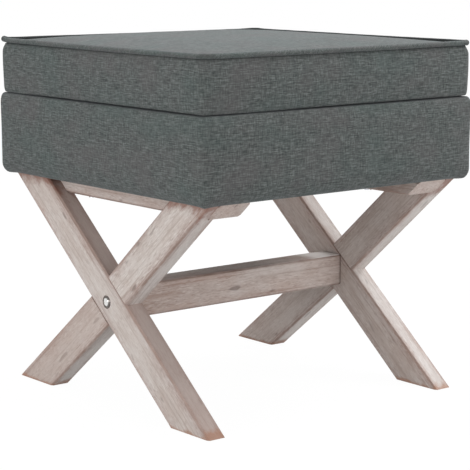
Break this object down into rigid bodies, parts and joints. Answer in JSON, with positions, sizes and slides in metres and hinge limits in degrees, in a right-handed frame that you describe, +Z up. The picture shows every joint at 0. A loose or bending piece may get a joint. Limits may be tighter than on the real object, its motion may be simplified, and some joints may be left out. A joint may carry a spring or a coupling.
{
  "type": "storage ottoman",
  "caption": "Square upholstered storage stool: a fabric-covered box with a hinged, piped lid, standing on two crossed-leg wooden frames joined by a stretcher.",
  "frame": {"origin": "on the floor, under the middle of the box", "axes": "+Z up; -Y towards the front, away from the hinges; +X towards the side that carries the lid stay; the stretcher runs along X"},
  "size_m": [0.46, 0.46, 0.48],
  "materials": {
    "whitewashed_wood": "whitewashed, worn to red-brown along the edges",
    "dowel_wood": "plain beech dowel",
    "plywood": "unfinished plywood",
    "foam": "upholstery foam",
    "grey_linen": "grey linen weave",
    "dark_lining": "black non-woven lining",
    "bolt_steel": "zinc-plated steel",
    "hinge_steel": "nickel-plated steel"
  },
  "bodies": {
    "base": {"left_long_leg": "whitewashed_wood", "left_upper_half_leg": "whitewashed_wood", "left_lower_half_leg": "whitewashed_wood", "right_long_leg": "whitewashed_wood", "right_upper_half_leg": "whitewashed_wood", "right_lower_half_leg": "whitewashed_wood", "half_leg_dowels": "dowel_wood", "left_top_rail": "whitewashed_wood", "right_top_rail": "whitewashed_wood", "rail_dowels": "dowel_wood", "stretcher": "whitewashed_wood", "stretcher_bolts": "bolt_steel", "stretcher_barrel_nuts": "bolt_steel", "stretcher_dowels": "dowel_wood", "box_bolts": "bolt_steel", "box_bolt_washers": "bolt_steel", "box_tee_nuts": "bolt_steel", "base_board": "plywood", "front_panel": "plywood", "back_panel": "plywood", "left_panel": "plywood", "right_panel": "plywood", "panel_screws": "bolt_steel", "front_pad": "foam", "back_pad": "foam", "left_pad": "foam", "right_pad": "foam", "box_cover": "grey_linen", "compartment_lining": "dark_lining", "dust_cover": "dark_lining", "left_hinge_box_leaf": "hinge_steel", "right_hinge_box_leaf": "hinge_steel", "hinge_pins": "hinge_steel", "hinge_box_screws": "hinge_steel", "stay_box_bracket": "hinge_steel", "stay_box_screws": "hinge_steel", "stay_box_rivet": "hinge_steel"},
    "lid": {"left_hinge_lid_leaf": "hinge_steel", "right_hinge_lid_leaf": "hinge_steel", "hinge_lid_screws": "hinge_steel", "lid_board": "plywood", "lid_foam": "foam", "lid_top_panel": "grey_linen", "lid_boxing": "grey_linen", "lid_piping": "grey_linen", "lid_underside_cloth": "dark_lining", "stay_lid_bracket": "hinge_steel", "stay_lid_screws": "hinge_steel", "stay_lid_rivet": "hinge_steel"},
    "stay_lower": {"stay_lower_arm": "hinge_steel", "stay_elbow_rivet": "hinge_steel"},
    "stay_upper": {"stay_upper_arm": "hinge_steel"}
  },
  "joints": [
    {"name": "lid_hinge", "type": "hinge", "parent": "base", "child": "lid", "pos_m": [0, 0.226, 0.401], "axis": [-1, 0, 0], "range_deg": [0, 95]},
    {"name": "stay_lower_pivot", "type": "hinge", "parent": "base", "child": "stay_lower", "pos_m": [0.2019, 0.19, 0.33], "axis": [-1, 0, 0], "range_deg": [0, 95]},
    {"name": "stay_elbow", "type": "hinge", "parent": "stay_lower", "child": "stay_upper", "pos_m": [0.1996, 0.06, 0.318], "axis": [1, 0, 0], "range_deg": [0, 95]}
  ],
  "couplings": [
    {"joint": "stay_lower_pivot", "follows": "lid_hinge", "ratio": 1},
    {"joint": "stay_elbow", "follows": "lid_hinge", "ratio": 1}
  ]
}
